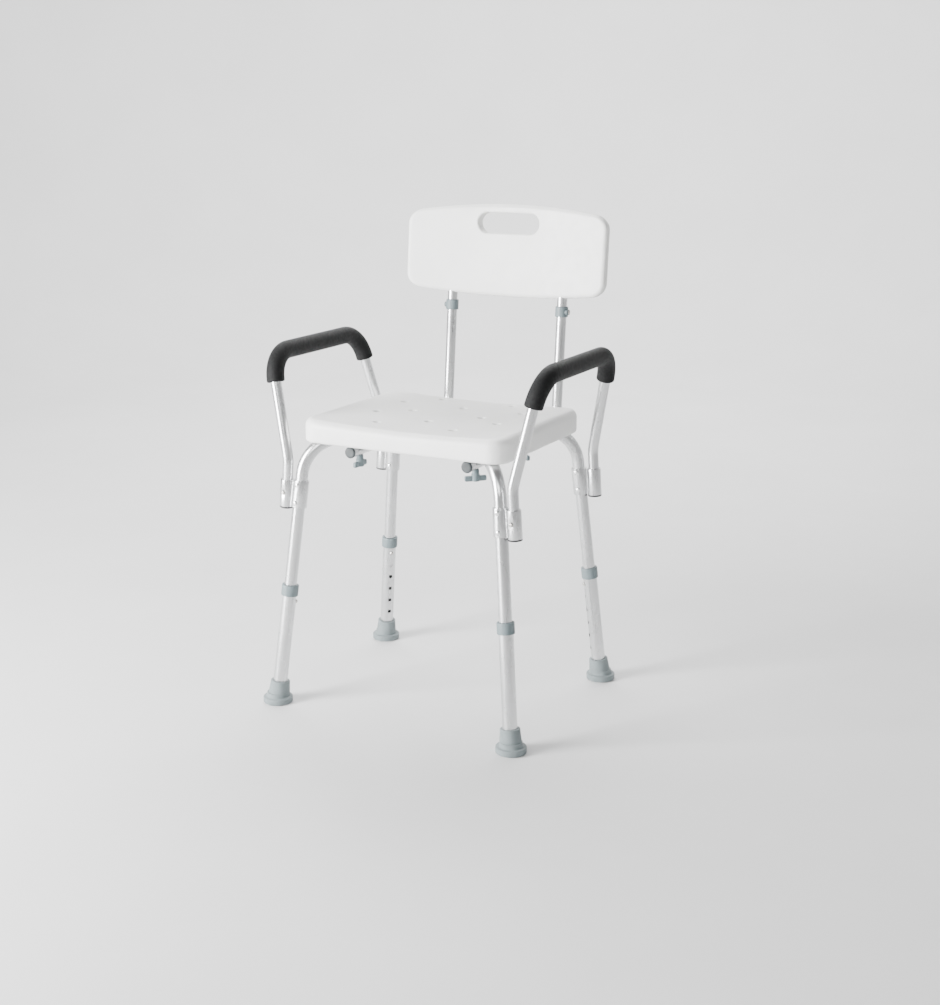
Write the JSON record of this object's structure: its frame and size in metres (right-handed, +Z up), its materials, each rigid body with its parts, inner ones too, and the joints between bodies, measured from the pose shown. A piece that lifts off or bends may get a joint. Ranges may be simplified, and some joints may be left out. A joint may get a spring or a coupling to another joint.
{
  "type": "shower chair",
  "caption": "Height-adjustable shower chair with a moulded seat, a lift-off backrest with a handle slot, lift-off padded armrests and rubber feet.",
  "frame": {"origin": "on the floor, at the centre of the bounding box in plan", "axes": "+Z up, the front of the chair faces -Y, +X to the right as seen from the front"},
  "size_m": [0.552, 0.5038, 0.8734],
  "materials": {
    "seat_plastic": "satin",
    "back_plastic": "satin",
    "tube_aluminium": "satin",
    "steel": "polished",
    "light_grey_plastic": "matte",
    "grey_plastic": "matte",
    "dark_plastic": "matte",
    "foot_rubber": "matte",
    "foam": "matte",
    "black_plastic": "matte",
    "brass": "satin"
  },
  "bodies": {
    "frame": {"seat_board": "seat_plastic", "seat_inserts": "brass", "upper_leg_frame": "tube_aluminium", "lower_leg_frame": "tube_aluminium", "left_back_post": "tube_aluminium", "right_back_post": "tube_aluminium", "back_post_plugs": "dark_plastic", "tube_saddles": "light_grey_plastic", "frame_centre_bolt": "steel", "post_collars": "grey_plastic", "front_left_arm_bracket": "tube_aluminium", "front_right_arm_bracket": "tube_aluminium", "rear_left_arm_bracket": "tube_aluminium", "rear_right_arm_bracket": "tube_aluminium", "bracket_rivets": "tube_aluminium", "socket_end_caps": "black_plastic", "leg_button_springs": "steel"},
    "front_left_leg": {"front_left_leg_tube": "tube_aluminium", "front_left_leg_collar": "grey_plastic", "front_left_foot": "foot_rubber"},
    "front_right_leg": {"front_right_leg_tube": "tube_aluminium", "front_right_leg_collar": "grey_plastic", "front_right_foot": "foot_rubber"},
    "rear_left_leg": {"rear_left_leg_tube": "tube_aluminium", "rear_left_leg_collar": "grey_plastic", "rear_left_foot": "foot_rubber"},
    "rear_right_leg": {"rear_right_leg_tube": "tube_aluminium", "rear_right_leg_collar": "grey_plastic", "rear_right_foot": "foot_rubber"},
    "front_left_leg_button": {"front_left_leg_button": "steel"},
    "front_right_leg_button": {"front_right_leg_button": "steel"},
    "rear_left_leg_button": {"rear_left_leg_button": "steel"},
    "rear_right_leg_button": {"rear_right_leg_button": "steel"},
    "left_armrest": {"left_arm_tube": "tube_aluminium", "left_arm_pad": "foam", "left_arm_button_springs": "steel"},
    "right_armrest": {"right_arm_tube": "tube_aluminium", "right_arm_pad": "foam", "right_arm_button_springs": "steel"},
    "front_left_arm_button": {"front_left_arm_button": "steel"},
    "front_right_arm_button": {"front_right_arm_button": "steel"},
    "rear_left_arm_button": {"rear_left_arm_button": "steel"},
    "rear_right_arm_button": {"rear_right_arm_button": "steel"},
    "backrest": {"backrest_board": "back_plastic", "backrest_left_tube": "tube_aluminium", "backrest_right_tube": "tube_aluminium", "backrest_screws": "steel", "back_button_springs": "steel"},
    "left_back_button": {"left_back_button": "steel"},
    "right_back_button": {"right_back_button": "steel"},
    "front_left_wing_knob": {"front_left_wing_knob": "grey_plastic", "front_left_wing_bolt": "steel"},
    "front_right_wing_knob": {"front_right_wing_knob": "grey_plastic", "front_right_wing_bolt": "steel"},
    "rear_left_wing_knob": {"rear_left_wing_knob": "grey_plastic", "rear_left_wing_bolt": "steel"},
    "rear_right_wing_knob": {"rear_right_wing_knob": "grey_plastic", "rear_right_wing_bolt": "steel"}
  },
  "joints": [
    {"name": "front_left_leg_slide", "type": "slide", "parent": "frame", "child": "front_left_leg", "axis": [0.0956, 0.0784, 0.9923], "range_m": [0, 0.127], "deforming": ["front_left_leg_button"]},
    {"name": "front_right_leg_slide", "type": "slide", "parent": "frame", "child": "front_right_leg", "axis": [-0.0956, 0.0784, 0.9923], "range_m": [0, 0.127], "deforming": ["front_right_leg_button"]},
    {"name": "rear_left_leg_slide", "type": "slide", "parent": "frame", "child": "rear_left_leg", "axis": [0.0956, -0.0784, 0.9923], "range_m": [0, 0.127], "deforming": ["rear_left_leg_button"]},
    {"name": "rear_right_leg_slide", "type": "slide", "parent": "frame", "child": "rear_right_leg", "axis": [-0.0956, -0.0784, 0.9923], "range_m": [0, 0.127], "deforming": ["rear_right_leg_button"]},
    {"name": "front_left_leg_button_press", "type": "slide", "parent": "frame", "child": "front_left_leg_button", "axis": [-0.7674, -0.6291, 0.1236], "range_m": [0, 0.0045], "stiffness_N_per_m": 900, "springref_m": -0.004, "deforming": ["leg_button_springs"]},
    {"name": "front_right_leg_button_press", "type": "slide", "parent": "frame", "child": "front_right_leg_button", "axis": [0.7674, -0.6291, 0.1236], "range_m": [0, 0.0045], "stiffness_N_per_m": 900, "springref_m": -0.004, "deforming": ["leg_button_springs"]},
    {"name": "rear_left_leg_button_press", "type": "slide", "parent": "frame", "child": "rear_left_leg_button", "axis": [-0.7674, 0.6291, 0.1236], "range_m": [0, 0.0045], "stiffness_N_per_m": 900, "springref_m": -0.004, "deforming": ["leg_button_springs"]},
    {"name": "rear_right_leg_button_press", "type": "slide", "parent": "frame", "child": "rear_right_leg_button", "axis": [0.7674, 0.6291, 0.1236], "range_m": [0, 0.0045], "stiffness_N_per_m": 900, "springref_m": -0.004, "deforming": ["leg_button_springs"]},
    {"name": "left_armrest_lift", "type": "slide", "parent": "frame", "child": "left_armrest", "axis": [0.0698, 0, 0.9976], "range_m": [0, 0.06], "deforming": ["front_left_arm_button", "rear_left_arm_button"]},
    {"name": "right_armrest_lift", "type": "slide", "parent": "frame", "child": "right_armrest", "axis": [-0.0698, 0, 0.9976], "range_m": [0, 0.06], "deforming": ["front_right_arm_button", "rear_right_arm_button"]},
    {"name": "front_left_arm_button_press", "type": "slide", "parent": "left_armrest", "child": "front_left_arm_button", "axis": [0, 1, 0], "range_m": [0, 0.0059], "stiffness_N_per_m": 700, "springref_m": -0.004, "deforming": ["left_arm_button_springs"]},
    {"name": "front_right_arm_button_press", "type": "slide", "parent": "right_armrest", "child": "front_right_arm_button", "axis": [0, 1, 0], "range_m": [0, 0.0059], "stiffness_N_per_m": 700, "springref_m": -0.004, "deforming": ["right_arm_button_springs"]},
    {"name": "rear_left_arm_button_press", "type": "slide", "parent": "left_armrest", "child": "rear_left_arm_button", "axis": [0, -1, 0], "range_m": [0, 0.0059], "stiffness_N_per_m": 700, "springref_m": -0.004, "deforming": ["left_arm_button_springs"]},
    {"name": "rear_right_arm_button_press", "type": "slide", "parent": "right_armrest", "child": "rear_right_arm_button", "axis": [0, -1, 0], "range_m": [0, 0.0059], "stiffness_N_per_m": 700, "springref_m": -0.004, "deforming": ["right_arm_button_springs"]},
    {"name": "backrest_lift", "type": "slide", "parent": "frame", "child": "backrest", "axis": [0, 0.0797, 0.9968], "range_m": [0, 0.08], "deforming": ["left_back_button", "right_back_button"]},
    {"name": "left_back_button_press", "type": "slide", "parent": "backrest", "child": "left_back_button", "axis": [1, 0, 0], "range_m": [0, 0.0079], "stiffness_N_per_m": 700, "springref_m": -0.004, "deforming": ["back_button_springs"]},
    {"name": "right_back_button_press", "type": "slide", "parent": "backrest", "child": "right_back_button", "axis": [-1, 0, 0], "range_m": [0, 0.0079], "stiffness_N_per_m": 700, "springref_m": -0.004, "deforming": ["back_button_springs"]},
    {"name": "front_left_wing_knob_turn", "type": "hinge", "parent": "frame", "child": "front_left_wing_knob", "pos_m": [-0.115, -0.12692, 0.437], "axis": [0, 0, 1], "continuous": true},
    {"name": "front_right_wing_knob_turn", "type": "hinge", "parent": "frame", "child": "front_right_wing_knob", "pos_m": [0.115, -0.12692, 0.437], "axis": [0, 0, 1], "continuous": true},
    {"name": "rear_left_wing_knob_turn", "type": "hinge", "parent": "frame", "child": "rear_left_wing_knob", "pos_m": [-0.115, 0.06162, 0.437], "axis": [0, 0, 1], "continuous": true},
    {"name": "rear_right_wing_knob_turn", "type": "hinge", "parent": "frame", "child": "rear_right_wing_knob", "pos_m": [0.115, 0.06162, 0.437], "axis": [0, 0, 1], "continuous": true}
  ]
}
